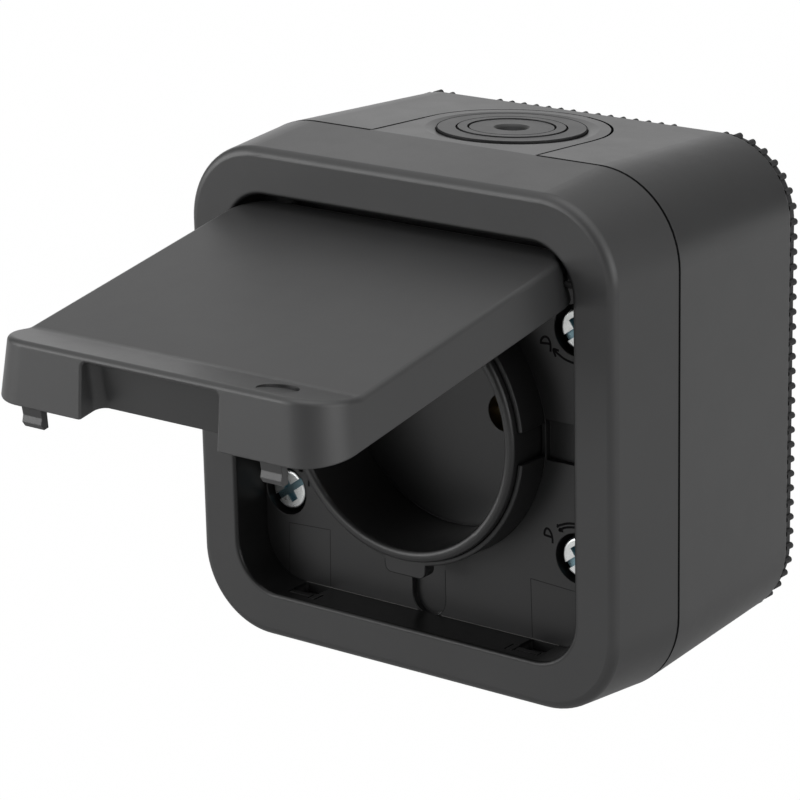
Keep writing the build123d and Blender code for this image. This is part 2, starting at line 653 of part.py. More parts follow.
with BuildPart() as lid:
    with BuildSketch(lid_side) as lid_profile:
        with BuildLine():
            Polyline(
                (-LID_REAR, lid_foot),
                (-LID_REAR, LID_TOP),
                (LIP_START, LID_TOP),
                (LIP_TOP_S, LID_TOP + LIP_RISE),
                (LIP_FOOT_S, lid_foot),
                close=True,
            )
        make_face()
        fillet(lid_profile.vertices().sort_by_distance((LIP_START, LID_TOP, 0))[0], LIP_BLEND)
    extrude(amount=LID_W / 2, both=True)
    with BuildSketch(lid_plane.offset(lid_foot)) as lid_plan:
        with Locations((0, -(LIP_FOOT_S + LIP_LEAN - LID_REAR) / 2)):
            Rectangle(LID_W, LIP_FOOT_S + LIP_LEAN + LID_REAR)
        fillet(lid_plan.vertices().group_by(Axis.Y)[-1], LID_CORNER_R)
    extrude(amount=LID_SKIRT + LIP_RISE, taper=LID_DRAFT, mode=Mode.INTERSECT)
    lip_corners = lid.edges().filter_by(
        lambda edge: abs((edge.center() - lip_at).dot(lip_out)) < LIP_LEAN / 100 and abs(edge.tangent_at(0.5).X) < 0.5
    )
    fillet(lip_corners, LID_CORNER_R)
    up = lid_plane.z_dir
    tops = lid.faces().filter_by(lambda face: face.normal_at(face.center()).dot(up) > 0.75)
    rims = [e for e in tops.edges() if sum(e in f.edges() for f in tops) == 1]
    fillet(rims, LID_EDGE_R)
    add(lid_hollow.part, mode=Mode.SUBTRACT)
    with BuildSketch(lid_plane.offset(lid_foot)) as recess_plan:
        with Locations((0, -LIP_FOOT_S)):
            Rectangle(RECESS_W, 2 * (LIP_FOOT_S - RECESS_BACK_S))
        fillet(recess_plan.vertices().group_by(Axis.Y)[-1], RECESS_R)
    extrude(amount=LID_SKIRT + RECESS_TOP, mode=Mode.SUBTRACT)
    ceilings = lid.faces().filter_by(lambda face: face.normal_at(face.center()).dot(up) < -0.99)
    ceiling = ceilings.sort_by(lambda face: face.center().dot(up))[-1]
    fillet(ceiling.edges().sort_by(Axis.Y)[1:], RECESS_ROUND)
    mouth = lid.edges().filter_by(
        lambda edge: abs(edge.center().X) <= RECESS_W / 2 + RECESS_EDGE_R
        and all(abs((edge.position_at(at) - lip_at).dot(lip_out)) < RECESS_EDGE_R / 10 for at in (0.1, 0.5, 0.9))
        and edge.center().dot(up) > lip_at.dot(up) + RECESS_EDGE_R
    )
    fillet(mouth, RECESS_EDGE_R)
    with BuildSketch(mark_plane):
        Circle(MARK_R)
    extrude(amount=LIP_RISE, mode=Mode.SUBTRACT)
    with BuildSketch(lid_side.offset(-HOOK_X - HOOK_W / 2), lid_side.offset(HOOK_X - HOOK_W / 2)):
        with BuildLine():
            Polyline(
                (LIP_FOOT_S - HOOK_T, lid_foot + LIP_WALL),
                (LIP_FOOT_S - HOOK_T, lid_foot),
                (LIP_FOOT_S - HOOK_T + HOOK_TAPER, lid_foot - HOOK_DROP),
                (LIP_FOOT_S - HOOK_IN, lid_foot - HOOK_DROP),
                (LIP_FOOT_S + HOOK_REACH, lid_foot - 0.72 * HOOK_DROP),
                (LIP_FOOT_S - HOOK_IN, lid_foot - 0.42 * HOOK_DROP),
                (LIP_FOOT_S - HOOK_IN, lid_foot),
                (LIP_FOOT_S - HOOK_IN - HOOK_ROOT, lid_foot + LIP_WALL),
                close=True,
            )
        make_face()
    extrude(amount=HOOK_W)
    with BuildSketch(Plane.YZ.offset(-boss_end), Plane.YZ.offset(boss_end - BOSS_T)):
        with Locations((-HINGE_H, HINGE_Z)):
            Circle(BOSS_R)
    extrude(amount=BOSS_T)
    with BuildSketch(Plane.YZ.offset(-LID_W / 2)):
        with Locations((-HINGE_H, HINGE_Z)):
            Circle(PIN_R + RUN_FIT)
    extrude(amount=LID_W, mode=Mode.SUBTRACT)
    with BuildSketch(lid_plane.offset(LID_TOP - LID_T)):
        with Locations((0, -HINGE_Z)):
            Circle(lid_seal_out)
            Circle(lid_seal_in, mode=Mode.SUBTRACT)
    extrude(amount=LID_SEAL_SUNK, mode=Mode.SUBTRACT)
lid.part.label = "lid"
export_step(lid.part, "parts/lid.step")

# Soft ring sunk in the lid, over the well's rim when the lid is shut
with BuildPart() as lid_seal:
    with BuildSketch(lid_plane.offset(LID_TOP - LID_T + LID_SEAL_SUNK)):
        with Locations((0, -HINGE_Z)):
            Circle(lid_seal_out)
            Circle(lid_seal_in, mode=Mode.SUBTRACT)
    extrude(amount=-LID_SEAL_T)
lid_seal.part.label = "lid_seal"
export_step(lid_seal.part, "parts/lid_seal.step")

# Hinge pins, pressed into the frame's side walls
pin_in = boss_end - BOSS_T
pin_out = OPENING / 2 + PIN_IN_FRAME
for side, hand in ((-1, "left"), (1, "right")):
    with BuildPart() as hinge_pin:
        with BuildSketch(Plane.YZ.offset(min(side * pin_in, side * pin_out))):
            with Locations((-HINGE_H, HINGE_Z)):
                Circle(PIN_R)
        extrude(amount=pin_out - pin_in)
        fillet(hinge_pin.edges().filter_by(GeomType.CIRCLE), PIN_ROUND)
    hinge_pin.part.label = f"hinge_pin_{hand}"
    export_step(hinge_pin.part, f"parts/hinge_pin_{hand}.step")

# Insulating body behind the well, with bores for sleeves and pockets for terminal blocks
block_low = -BLOCK_HIGH

with BuildPart() as contact_base:
    with BuildSketch(out(BASE_BACK_H)):
        RectangleRounded(BASE_W, BASE_HIGH, BASE_R)
    extrude(amount=BASE_D)
    with BuildSketch(out(BASE_BACK_H)):
        with GridLocations(PIN_PITCH, 0, 2, 1):
            Circle(SLEEVE_R + BLOCK_FIT)
        with Locations((0, EARTH_UP)):
            Circle(EARTH_R)
    extrude(amount=BASE_D, mode=Mode.SUBTRACT)
    with BuildSketch(out(BASE_BACK_H)):
        with Locations((-PIN_PITCH / 2, block_low / 2), (PIN_PITCH / 2, block_low / 2)):
            Rectangle(BLOCK_W + 2 * BLOCK_FIT, BLOCK_HIGH + 2 * BLOCK_FIT)
        with Locations((0, EARTH_UP)):
            Rectangle(BLOCK_W + 2 * BLOCK_FIT, BLOCK_W + 2 * BLOCK_FIT)
    extrude(amount=BLOCK_D, mode=Mode.SUBTRACT)
    with BuildSketch(Plane.XY.offset(-BASE_HIGH / 2)):
        with Locations((-PIN_PITCH / 2, -BASE_BACK_H - BLOCK_D / 2), (PIN_PITCH / 2, -BASE_BACK_H - BLOCK_D / 2)):
            Circle(WIRE_R + BLOCK_FIT)
    extrude(amount=BASE_HIGH / 2 - BLOCK_HIGH, mode=Mode.SUBTRACT)
    with BuildSketch(Plane.XY.offset(EARTH_UP)):
        with Locations((0, -BASE_BACK_H - BLOCK_D / 2)):
            Circle(WIRE_R + BLOCK_FIT)
    extrude(amount=BASE_HIGH, mode=Mode.SUBTRACT)
contact_base.part.label = "contact_base"
export_step(contact_base.part, "parts/contact_base.step")

# Spring sleeves with their terminal blocks
for side, pole in ((1, "live"), (-1, "neutral")):
    with BuildPart() as contact:
        pole_x = side * PIN_PITCH / 2
        with BuildSketch(out(BASE_BACK_H)):
            with Locations((pole_x, 0)):
                Circle(SLEEVE_R)
        extrude(amount=BASE_D)
        with BuildSketch(out(BASE_BACK_H)):
            with Locations((pole_x, block_low / 2)):
                Rectangle(BLOCK_W, BLOCK_HIGH)
        extrude(amount=BLOCK_D - BLOCK_FIT)
        with BuildSketch(out(BASE_BACK_H + COVER_T)):
            with Locations((pole_x, 0)):
                Circle(SLEEVE_R - SLEEVE_WALL)
        extrude(amount=BASE_D, mode=Mode.SUBTRACT)
        with BuildSketch(out(BASE_BACK_H + BLOCK_D)):
            with Locations((pole_x, 0)):
                Rectangle(2 * SLEEVE_R, SLEEVE_SLIT)
        extrude(amount=BASE_D, mode=Mode.SUBTRACT)
        with BuildSketch(Plane.XY.offset(-BLOCK_HIGH)):
            with Locations((pole_x, -BASE_BACK_H - BLOCK_D / 2)):
                Circle(WIRE_R)
        extrude(amount=BLOCK_HIGH - SLEEVE_R, mode=Mode.SUBTRACT)
        with BuildSketch(out(BASE_BACK_H)):
            with Locations((pole_x, block_low + CLAMP_HEAD_R)):
                Circle(CLAMP_R)
        extrude(amount=BLOCK_D / 2, mode=Mode.SUBTRACT)
    contact.part.label = f"{pole}_contact"
    export_step(contact.part, f"parts/{pole}_contact.step")

# Earth pin standing in the well, with its terminal block
with BuildPart() as earth_pin:
    with BuildSketch(out(BASE_BACK_H)):
        with Locations((0, EARTH_UP)):
            Circle(EARTH_R)
    extrude(amount=FLOOR_H + EARTH_OUT - BASE_BACK_H)
    fillet(earth_pin.faces().sort_by(Axis.Y)[0].edges(), 0.8 * EARTH_R)
    with BuildSketch(out(BASE_BACK_H)):
        with Locations((0, EARTH_UP)):
            Rectangle(BLOCK_W, BLOCK_W)
    extrude(amount=BLOCK_D - BLOCK_FIT)
    with BuildSketch(Plane.XY.offset(EARTH_UP)):
        with Locations((0, -BASE_BACK_H - BLOCK_D / 2)):
            Circle(WIRE_R)
    extrude(amount=BLOCK_W, mode=Mode.SUBTRACT)
    with BuildSketch(out(BASE_BACK_H)):
        with Locations((0, EARTH_UP)):
            Circle(CLAMP_R)
    extrude(amount=BLOCK_D / 2, mode=Mode.SUBTRACT)
earth_pin.part.label = "earth_pin"
export_step(earth_pin.part, "parts/earth_pin.step")

# Clamp screws of the three terminals
CLAMPS = (
    (PIN_PITCH / 2, block_low + CLAMP_HEAD_R),
    (-PIN_PITCH / 2, block_low + CLAMP_HEAD_R),
    (0, EARTH_UP),
)

with BuildPart() as terminal_screws:
    with BuildSketch(out(BASE_BACK_H - CLAMP_HEAD_T)):
        with Locations(*CLAMPS):
            Circle(CLAMP_HEAD_R)
    extrude(amount=CLAMP_HEAD_T)
    with BuildSketch(out(BASE_BACK_H)):
        with Locations(*CLAMPS):
            Circle(CLAMP_R)
    extrude(amount=BLOCK_D / 2 - WIRE_R)
    with BuildSketch(out(BASE_BACK_H - CLAMP_HEAD_T)):
        with Locations(*CLAMPS):
            Rectangle(2 * CLAMP_HEAD_R, SLEEVE_SLIT)
    extrude(amount=CLAMP_HEAD_T / 2, mode=Mode.SUBTRACT)
terminal_screws.part.label = "terminal_screws"
export_step(terminal_screws.part, "parts/terminal_screws.step")

# Cover over the back of the contact base, with holes to reach the clamp screws
with BuildPart() as rear_cover:
    with BuildSketch(out(BASE_BACK_H - COVER_T)):
        RectangleRounded(BASE_W, BASE_HIGH, BASE_R)
        with Locations(*CLAMPS):
            Circle(CLAMP_HEAD_R + 2 * BLOCK_FIT, mode=Mode.SUBTRACT)
    extrude(amount=COVER_T)
    fillet(rear_cover.faces().sort_by(Axis.Y)[-1].outer_wire().edges(), COVER_ROUND)
rear_cover.part.label = "rear_cover"
export_step(rear_cover.part, "parts/rear_cover.step")
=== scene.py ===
"""Looks of an outdoor weatherproof socket: finishes, thin engraved lines, light and camera.

All lengths are in metres in the shared frame: +Z up, the front faces -Y, the wall plane is y = 0.
"""

import json
from math import cos, radians, sin

import bpy
import numpy as np
from bpy.props import FloatProperty, FloatVectorProperty, PointerProperty
from bpy.types import Operator, Panel, PropertyGroup
from mathutils import Matrix, Vector


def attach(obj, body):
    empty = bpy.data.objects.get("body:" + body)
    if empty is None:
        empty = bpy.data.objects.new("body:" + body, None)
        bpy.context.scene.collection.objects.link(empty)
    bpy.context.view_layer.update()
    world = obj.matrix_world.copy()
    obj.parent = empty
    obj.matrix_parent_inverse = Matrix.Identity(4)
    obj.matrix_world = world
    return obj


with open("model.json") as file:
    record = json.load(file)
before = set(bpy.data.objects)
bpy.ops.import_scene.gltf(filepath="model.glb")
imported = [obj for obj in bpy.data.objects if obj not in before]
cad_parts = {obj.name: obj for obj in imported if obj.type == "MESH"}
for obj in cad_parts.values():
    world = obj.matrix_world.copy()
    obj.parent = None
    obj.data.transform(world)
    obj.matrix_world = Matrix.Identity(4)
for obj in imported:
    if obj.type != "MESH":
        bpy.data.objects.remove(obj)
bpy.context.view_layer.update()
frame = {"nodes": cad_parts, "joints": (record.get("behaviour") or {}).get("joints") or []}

bl_info = {
    "name": "Outdoor socket looks",
    "version": (1, 0, 0),
    "blender": (4, 5, 0),
    "location": "View3D > Sidebar > Socket",
    "description": "Finishes, engraved signs, light and camera for a weatherproof socket outlet",
    "category": "Object",
}

NODES = frame["nodes"]
JOINTS = {joint["name"]: joint for joint in frame["joints"]}
LOCKS = [Vector(JOINTS[f"lock_turn_{number}"]["pos_m"]) for number in range(1, 5)]
LOCK_X = abs(LOCKS[0].x)
LOCK_Z = abs(LOCKS[0].z)
MM = 0.001

# Faces of the solids that lines lie on or finishes change at.
PLATE_Y = -0.04245
COLLAR_Y = -0.0483
HEAD_Y = -0.04175
ENTRY = np.array((0, -0.0197, 0.039256))
TOP_SLOPE = radians(2.8975)
FRAME_HALF, FRAME_CORNER = 0.04, 0.0137

# Painted shade: matt black mixed in where less than this share of the sky is open; the same black
# colours the frame's gasket.
SHADE_AND_JOINT_BLACK, SHADE_AND_JOINT_ROUGHNESS = (0.002, 0.002, 0.002, 1), 0.9
SKY_SHARE, CREVICE_SHADE_GAIN, CREVICE_SHADE_SAMPLES = 0.8, 1.7, 6

# Moulded plastic: sizes of its clouds, rubbed spots and finer grain, and the edge and share of the
# painted shade of its darker inside.
CLOUD_SIZE, RUB_SIZE, FINE_SHARE = 0.018, 0.006, 0.35
GRAIN_STRENGTH, EDGE_SAMPLES, PLASTIC_IOR = 0.5, 4, 1.5
INSIDE_FADE, INSIDE_SHADE = 0.0006, 0.4
INNER_GRAIN, PLATE_CREVICE, PIN_ROUGHNESS = 0.6, 0.45, 0.6

# Rubber: sizes of its dust and pores, and the painted shade in the membrane's dimple.
DUST_SIZE, PORE_SIZE, PORE_DEPTH, PORE_STRENGTH = 0.004, 0.00018, 0.00001, 0.4
DUST_GAIN, DUST_LIFT, MEMBRANE_POLISH = 1.35, 0.002, 0.1
MEMBRANE_CREVICE, DIMPLE_R, DIMPLE_EDGE, DIMPLE_SHADE = 0.001, 0.0028, 1500, 0.6

# Plating: sizes of its clouds, scuffs and spots, its dull tone, the turning marks per metre and their
# depth, and the depth at which a slot's shade is full.
PLATING_SIZE, SCUFF_SIZE, SPOT_SIZE, DULL_SHARE = 0.0015, 0.0003, 0.0004, 0.72
TURNING_MARKS, MARK_DEPTH, MARK_STRENGTH, SLOT_FADE = 9000, 0.00001, 0.35, 0.0003
ZINC_ROUGHNESS, STEEL_ROUGHNESS, BRASS_ROUGHNESS, INSULATOR_ROUGHNESS = 0.3, 0.36, 0.32, 0.5

# Thin dark lines, the lock signs and the painted shade of the other lines: their roughness, how much
# each kind shines, and the roughness of the painted highlight on the plate's foot.
INK_AND_SHADE_ROUGHNESS, SIGN_SHINE, LINE_SHINE, DRAIN_SHINE, FOOT_ROUGHNESS = 0.8, 0.05, 0.2, 0.1, 0.4

# Stage: the floor's rings, where reflections see it paler, its finish, and how white the camera sees it.
FLOOR_RINGS, FLOOR_STEPS = np.linspace(0.02, 8.0, 24), 64
NEAR_Y, NEAR_RADIUS, FAR_FADE = -0.04, 0.44, 0.5
FLECK_SIZE, FLOOR_GREY, FLOOR_ROUGHNESS, WHITE_SHARE = 0.01, (0.8, 0.8, 0.8, 1), 0.9, 0.97
BLACK, WHITE = (0, 0, 0, 1), (1, 1, 1, 1)

# Light panels: the property with its brightness, turn from the front and rise in degrees, and focus.
PANELS = (
    ("overhead", 15.0, 85.0, 4.0),
    ("left", -46.0, 1.0, 11.0),
    ("right", 88.0, 2.0, 7.0),
    ("rear", -138.0, 6.0, 10.0),
)
CAMERA_AT = (0.30411, -0.43891, 0.15961)
CAMERA_YAW, CAMERA_PITCH, CAMERA_ROLL = 0.6619, 0.3051, -0.0217
SENSOR_WIDTH, CLIP_START, CLIP_END = 36, 0.01, 50

# Paths of the thin lines, x and z in millimetres on the right-hand side of the plate.
UPPER_SIGN = (
    (
        (21.2, 14.75), (21.45, 15.3), (21.95, 15.62), (22.5, 15.5), (22.85, 14.95), (22.95, 14.3),
        (22.92, 13.5),
    ),
    ((21.09, 14.6), (21.8, 14.6), (22.5, 14.66), (22.93, 14.6)),
    ((23.44, 13.94), (24.27, 13.39), (25.51, 12.77), (27.16, 12.45), (28.6, 12.5), (30.2, 12.95)),
    ((24.41, 13.91), (23.44, 13.94), (23.85, 12.9)),
)
LOWER_SIGN = (
    (
        (21.55, -14.8), (21.63, -14.2), (21.95, -13.75), (22.4, -13.82), (22.8, -14.4), (23.0, -15.1),
        (23.03, -15.85),
    ),
    ((21.49, -14.77), (21.9, -14.84), (22.33, -14.88), (22.88, -14.95)),
    ((24.0, -12.95), (24.6, -12.67), (25.73, -12.23), (27.12, -12.05), (28.6, -12.1), (30.0, -12.5)),
    ((23.85, -12.72), (24.0, -12.95), (23.85, -13.2)),
    ((24.24, -13.6), (25.02, -13.08), (26.0, -12.76), (27.12, -12.6), (28.4, -12.65), (29.6, -13.0)),
    ((24.95, -13.62), (24.24, -13.6), (24.5, -13.2)),
)
PANEL_LINES = (
    ((19.0, -22.2), (19.2, -31.5)),
    ((27.2, -22.6), (27.4, -31.4)),
    ((19.0, -22.2), (27.2, -22.6)),
)
CHANNEL_SIDE = (
    (3.15, -24.2), (3.15, -26.0), (3.15, -28.0), (3.15, -29.1), (2.91, -30.31), (2.23, -31.33),
    (1.7, -31.75),
)
TAB_OUTLINE = (
    (-3.74, -21.9), (-3.74, -22.6), (-3.56, -23.28), (-3.13, -23.7), (-2.5, -23.84), (0.0, -23.84),
    (2.5, -23.84), (3.13, -23.7), (3.56, -23.28), (3.74, -22.6), (3.74, -21.9),
)
# Path of the painted highlight along the plate's lower edge.
PLATE_FOOT = ((2.3, -31.7), (12.0, -31.7), (24.0, -31.7))

# Paths on the top, in millimetres from the middle of the cable entry, and the membrane's rings in
# metres: each piece with its rings' radii and their height above the top.
# The seams are painted shade in the gaps beside the tongue.
SEAM_R = 15.15
SEAM_RIGHT, SEAM_LEFT = (-14.2, -10.0, -5.0), (-14.2, -10.0, -6.0, -2.0)
SEAM_BEND = np.radians(np.arange(0, 76, 15))
# The membrane's rings and edge are painted shade in its grooves.
RINGS = (("membrane_rings", (0.00827, 0.00669), 0.0002), ("membrane_edge", (0.01132,), 0.0001))
RING_POINTS = 25

# Sections: a stroke's across and out of its face, as shares of its width and height, and the joint
# line's in millimetres along y and out of the frame's outline.
STROKE_SECTION = np.array(
    [(-0.5, -0.6), (-0.5, 0.3), (-0.32, 1.0), (0.32, 1.0), (0.5, 0.3), (0.5, -0.6)]
)
JOINT_SECTION = np.array(((-34.66, -0.06), (-34.66, 0.0), (-34.88, -0.001), (-34.88, -0.06)))
JOINT_START, JOINT_STEPS = 0.0153, 72


class SocketPlastic(PropertyGroup):
    """Moulded anthracite plastic of the box, frame, plate, lid and well."""

    colour: FloatVectorProperty(
        name="Anthracite", description="Colour of the moulded plastic", subtype="COLOR",
        size=4, min=0, max=1, default=(0.0236, 0.0237, 0.024, 1),
    )
    light_colour: FloatVectorProperty(
        name="Worn anthracite", description="Slightly paler tone in the plastic's cloudy spots",
        subtype="COLOR", size=4, min=0, max=1, default=(0.0275, 0.0276, 0.0279, 1),
    )
    # The inner colours are a darker copy of the anthracite, painted shade of the recess behind the lid,
    # worn by the plate, the well, the hinge pins and the opening's walls.
    shaded_inner_colour: FloatVectorProperty(
        name="Inner black", description="Colour of the plate, the well and the opening's walls",
        subtype="COLOR", size=4, min=0, max=1, default=(0.0078, 0.0078, 0.008, 1),
    )
    shaded_inner_light: FloatVectorProperty(
        name="Worn inner black", description="Slightly paler tone of the inner plastic's cloudy spots",
        subtype="COLOR", size=4, min=0, max=1, default=(0.0096, 0.0096, 0.0098, 1),
    )
    opening: FloatProperty(
        name="Opening", description="Half width of the frame's opening, whose walls are darker",
        default=0.0319, min=0.01, unit="LENGTH",
    )
    opening_corner: FloatProperty(
        name="Opening corner", description="Corner radius of the frame's opening", default=0.0074,
        min=0.001, unit="LENGTH",
    )
    roughness: FloatProperty(
        name="Roughness", description="Mean roughness of the satin surface", default=0.37, min=0, max=1,
        subtype="FACTOR",
    )
    grain: FloatProperty(
        name="Grain size", description="Size of one bump of the moulded grain", default=0.00022,
        min=0.00002, unit="LENGTH",
    )
    grain_depth: FloatProperty(
        name="Grain depth", description="Depth of the moulded grain", default=0.000012, min=0,
        unit="LENGTH",
    )
    # Painted shade: matt black is mixed in beside walls nearer than this.
    crevice: FloatProperty(
        name="Crevice", description="How near a wall must be for grime to gather beside it",
        default=0.0011, min=0.0001, unit="LENGTH",
    )
    edge: FloatProperty(
        name="Soft edge", description="Radius that the light sees on sharp moulded edges",
        default=0.00022, min=0, unit="LENGTH",
    )


class SocketRubber(PropertyGroup):
    """Soft pieces: the cable membrane and the seals."""

    membrane: FloatVectorProperty(
        name="Membrane", description="Colour of the cable membrane", subtype="COLOR", size=4, min=0,
        max=1, default=(0.0225, 0.0226, 0.023, 1),
    )
    seal: FloatVectorProperty(
        name="Seal", description="Colour of the seals", subtype="COLOR", size=4, min=0, max=1,
        default=(0.009, 0.009, 0.0095, 1),
    )
    roughness: FloatProperty(
        name="Roughness", description="Mean roughness of the rubber", default=0.55, min=0, max=1,
        subtype="FACTOR",
    )


class SocketMetal(PropertyGroup):
    """Screws and contacts, and the insulating body that carries them."""

    zinc: FloatVectorProperty(
        name="Zinc", description="Colour of the plated lock screws", subtype="COLOR", size=4, min=0,
        max=1, default=(0.84, 0.86, 0.85, 1),
    )
    slot: FloatVectorProperty(
        name="Slot", description="Colour of the plating in the lock screws' slots", subtype="COLOR",
        size=4, min=0, max=1, default=(0.24, 0.37, 0.42, 1),
    )
    steel: FloatVectorProperty(
        name="Steel", description="Colour of the inner screws", subtype="COLOR", size=4,
        min=0, max=1, default=(0.56, 0.56, 0.55, 1),
    )
    brass: FloatVectorProperty(
        name="Brass", description="Colour of the contacts", subtype="COLOR", size=4, min=0, max=1,
        default=(0.75, 0.56, 0.26, 1),
    )
    insulator: FloatVectorProperty(
        name="Insulator", description="Colour of the body behind the well", subtype="COLOR", size=4,
        min=0, max=1, default=(0.58, 0.57, 0.53, 1),
    )


class SocketSigns(PropertyGroup):
    """Thin lines: lock signs and panel lines on the plate, seams and rings on the top; all but the signs
    are painted shade, and the plate's foot has a painted highlight.
    """

    stroke: FloatProperty(
        name="Stroke", description="Width of an engraved stroke", default=0.00036, min=0.00005,
        unit="LENGTH",
    )
    line: FloatProperty(
        name="Panel line", description="Width of a fine line moulded in the plate", default=0.00009,
        min=0.00002, unit="LENGTH",
    )
    height: FloatProperty(
        name="Height", description="How far a stroke's ink stands out of its face", default=0.00002,
        min=0.000005, unit="LENGTH",
    )
    seam: FloatProperty(
        name="Seam", description="Width of the dark seam beside the tongue", default=0.0004,
        min=0.00005, unit="LENGTH",
    )
    ring: FloatProperty(
        name="Ring", description="Width of the rings on the cable membrane", default=0.00012,
        min=0.00002, unit="LENGTH",
    )
    # Dark colour of the lock signs, and of the painted shade in the panel, channel and tab lines, seams
    # and rings.
    ink_and_shade: FloatVectorProperty(
        name="Ink", description="Colour in the engraved strokes", subtype="COLOR", size=4, min=0, max=1,
        default=(0.004, 0.004, 0.0042, 1),
    )
    # A painted highlight along the plate's lower edge.
    foot: FloatVectorProperty(
        name="Foot line", description="Colour of the plate's rubbed lower edge", subtype="COLOR", size=4,
        min=0, max=1, default=(0.09, 0.088, 0.085, 1),
    )


class SocketStage(PropertyGroup):
    """Light, floor and camera."""

    overhead: FloatProperty(
        name="Overhead panel", description="Brightness of the soft panel overhead", default=2.3, min=0,
    )
    left: FloatProperty(
        name="Left panel", description="Brightness of the low panel in front on the left", default=5.7,
        min=0,
    )
    right: FloatProperty(
        name="Right panel", description="Brightness of the low panel on the right", default=3.4, min=0,
    )
    rear: FloatProperty(
        name="Rear panel", description="Brightness of the low panel behind on the left", default=1.02,
        min=0,
    )
    far_floor: FloatProperty(
        name="Far floor", description="White that reflections see of the floor further off",
        default=0.73, min=0, max=1, subtype="FACTOR",
    )
    near_floor: FloatProperty(
        name="Near floor", description="White that reflections see of the floor below", default=0.38,
        min=0, max=1, subtype="FACTOR",
    )
    floor_drop: FloatProperty(
        name="Floor drop", description="Floor below the middle of the object", default=0.3, min=0.05,
        unit="LENGTH",
    )
    lens: FloatProperty(
        name="Lens", description="Focal length on a 36 mm sensor", default=158.1, min=20, unit="CAMERA",
    )


class Wire:
    """A shader value: one output socket, whose arithmetic adds Math nodes."""

    def __init__(self, finish, socket):
        self.finish = finish
        self.socket = socket

    def _math(self, operation, first, second=None):
        sockets = {0: first} if second is None else {0: first, 1: second}
        return self.finish.node("ShaderNodeMath", {"operation": operation}, sockets)

    def __add__(self, other):
        return self._math("ADD", self, other)

    __radd__ = __add__

    def __sub__(self, other):
        return self._math("SUBTRACT", self, other)

    def __rsub__(self, other):
        return self._math("SUBTRACT", other, self)

    def __mul__(self, other):
        return self._math("MULTIPLY", self, other)

    __rmul__ = __mul__

    def __truediv__(self, other):
        return self._math("DIVIDE", self, other)

    def __rtruediv__(self, other):
        return self._math("DIVIDE", other, self)

    def __pow__(self, other):
        return self._math("POWER", self, other)

    def __rpow__(self, other):
        return self._math("POWER", other, self)

    def __abs__(self):
        return self._math("ABSOLUTE", self)

    def most(self, other):
        """The greater of two values."""
        return self._math("MAXIMUM", self, other)

    def exponential(self):
        """e to the power of the value."""
        return self._math("EXPONENT", self)

    def root(self):
        """The square root of the value."""
        return self._math("SQRT", self)

    def clamp(self):
        """The value held between 0 and 1."""
        return self.finish.node("ShaderNodeClamp", {}, {"Value": self})

    def swing(self, amount):
        """A noise's swing about its middle, so many times as large."""
        return (self - 0.5) * amount


class Finish:
    """A node tree that ends in one shader: a material's or the world's."""

    def __init__(self, owner):
        owner.use_nodes = True
        self.owner = owner
        self.tree = owner.node_tree
        self.tree.nodes.clear()

    def node(self, kind, settings=None, sockets=None, out=0):
        """Adds a node: its settings first, then the values or links of its sockets."""
        made = self.tree.nodes.new(kind)
        for name, value in (settings or {}).items():
            setattr(made, name, value)
        for name, value in (sockets or {}).items():
            if isinstance(value, Wire):
                self.tree.links.new(value.socket, made.inputs[name])
            else:
                made.inputs[name].default_value = value
        return Wire(self, made.outputs[out]) if made.outputs else None

    def place(self):
        """Object coordinates, in metres in the shared frame."""
        return self.node("ShaderNodeTexCoord", out="Object")

    def noise(self, at, size, detail=2.0, roughness=0.5):
        """Smooth noise from 0 to 1 whose features are about this size in metres."""
        return self.node(
            "ShaderNodeTexNoise", {"noise_dimensions": "3D"},
            {"Vector": at, "Scale": 1 / size, "Detail": detail, "Roughness": roughness},
        )

    def axes(self, at):
        """The x, y and z of a vector."""
        return [self.node("ShaderNodeSeparateXYZ", {}, {"Vector": at}, out=axis) for axis in range(3)]

    def blend(self, factor, first, second):
        """A colour between two colours."""
        return self.node(
            "ShaderNodeMix", {"data_type": "RGBA"}, {0: factor, 6: first, 7: second}, out=2,
        )

    def mix(self, factor, first, second):
        """A shader between two shaders."""
        return self.node("ShaderNodeMixShader", {}, {0: factor, 1: first, 2: second})

    def crevices(self, shader, reach, least=0.0):
        """The shader with matt black painted shade where walls closer than reach shut the light out.

        The painted shade's share is nowhere below least.
        """
        open_share = self.node(
            "ShaderNodeAmbientOcclusion", {"samples": CREVICE_SHADE_SAMPLES}, {"Distance": reach}, out="AO",
        )
        painted_shade = self.node(
            "ShaderNodeBsdfPrincipled", {},
            {"Base Color": SHADE_AND_JOINT_BLACK, "Roughness": SHADE_AND_JOINT_ROUGHNESS, "Specular IOR Level": 0.0},
        )
        depth = ((SKY_SHARE - open_share) * CREVICE_SHADE_GAIN).most(least).clamp()
        return self.mix(depth, shader, painted_shade)

    def surface(self, shader):
        """The material, with the shader on its surface."""
        self.node("ShaderNodeOutputMaterial", {}, {"Surface": shader})
        return self.owner


